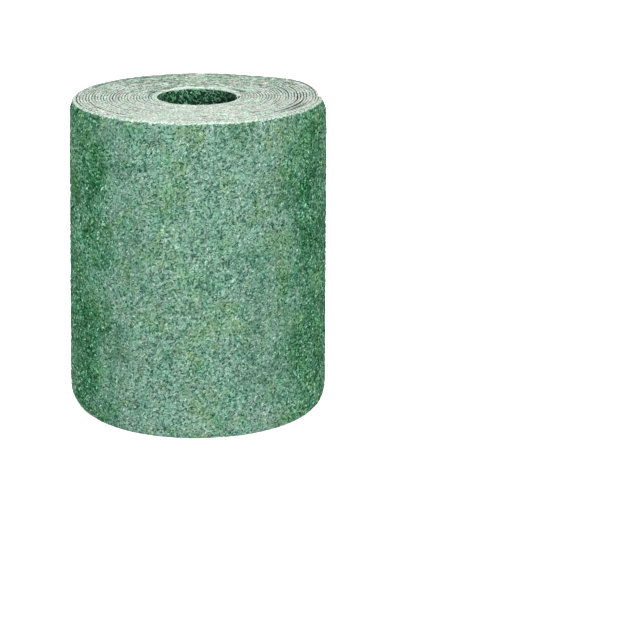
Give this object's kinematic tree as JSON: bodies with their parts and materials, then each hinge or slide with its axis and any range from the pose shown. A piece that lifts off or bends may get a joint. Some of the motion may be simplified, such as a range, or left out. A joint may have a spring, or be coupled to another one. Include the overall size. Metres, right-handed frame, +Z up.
{
  "type": "grass seed mat roll",
  "caption": "Strip of green non-woven grass seed mat wound into an upright roll with an open bore, its turns showing as fine rings on both ends.",
  "frame": {"origin": "centre of the bottom end, on the floor that the roll stands on", "axes": "+Z up the roll's axis, out of its top end; X and Y are any two level directions, because the roll is turned about Z"},
  "size_m": [0.165, 0.165, 0.2],
  "materials": {
    "mat_fleece": "pale green needled fibre fleece, matt and slightly fuzzy"
  },
  "bodies": {
    "root": {"mat_roll": "mat_fleece"}
  },
  "joints": []
}
